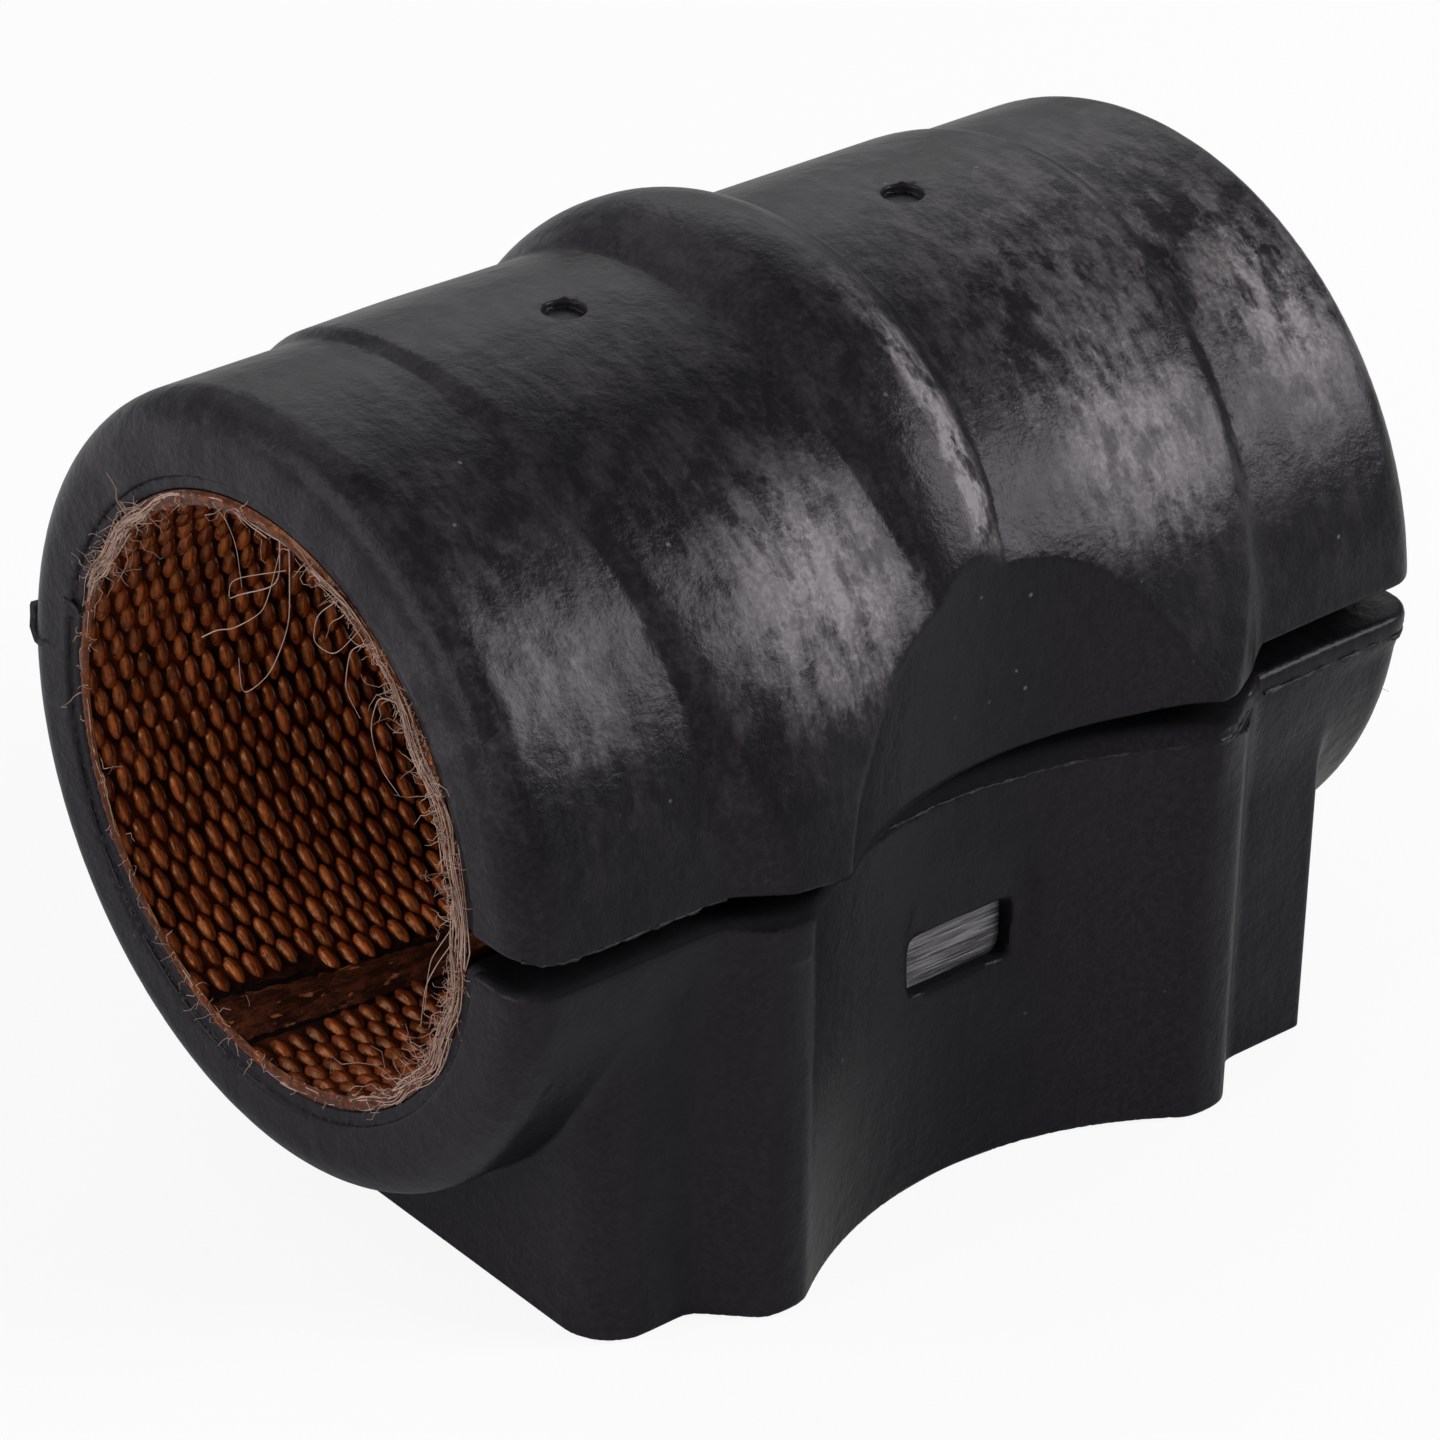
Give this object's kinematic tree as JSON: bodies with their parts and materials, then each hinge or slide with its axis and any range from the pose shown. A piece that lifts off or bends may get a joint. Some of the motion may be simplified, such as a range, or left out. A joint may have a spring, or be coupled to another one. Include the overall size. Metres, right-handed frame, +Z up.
{
  "type": "sway bar bushing",
  "caption": "Split rubber mounting for a vehicle's anti-roll bar: round fabric-lined bore in a barrel with a squarish flat-bottomed block, slit along one side.",
  "frame": {"origin": "middle of the bore, on its axis, halfway along its length", "axes": "+Y along the bore, +Z up through the rounded top away from the flat underside, +X out through the slit"},
  "size_m": [0.051, 0.067, 0.0538],
  "materials": {
    "moulded_rubber": "matte",
    "woven_lining": "satin",
    "channel_metal": "satin"
  },
  "bodies": {
    "root": {"rubber_body": "moulded_rubber", "bore_liner": "woven_lining", "reinforcement_channel": "channel_metal"}
  },
  "joints": []
}
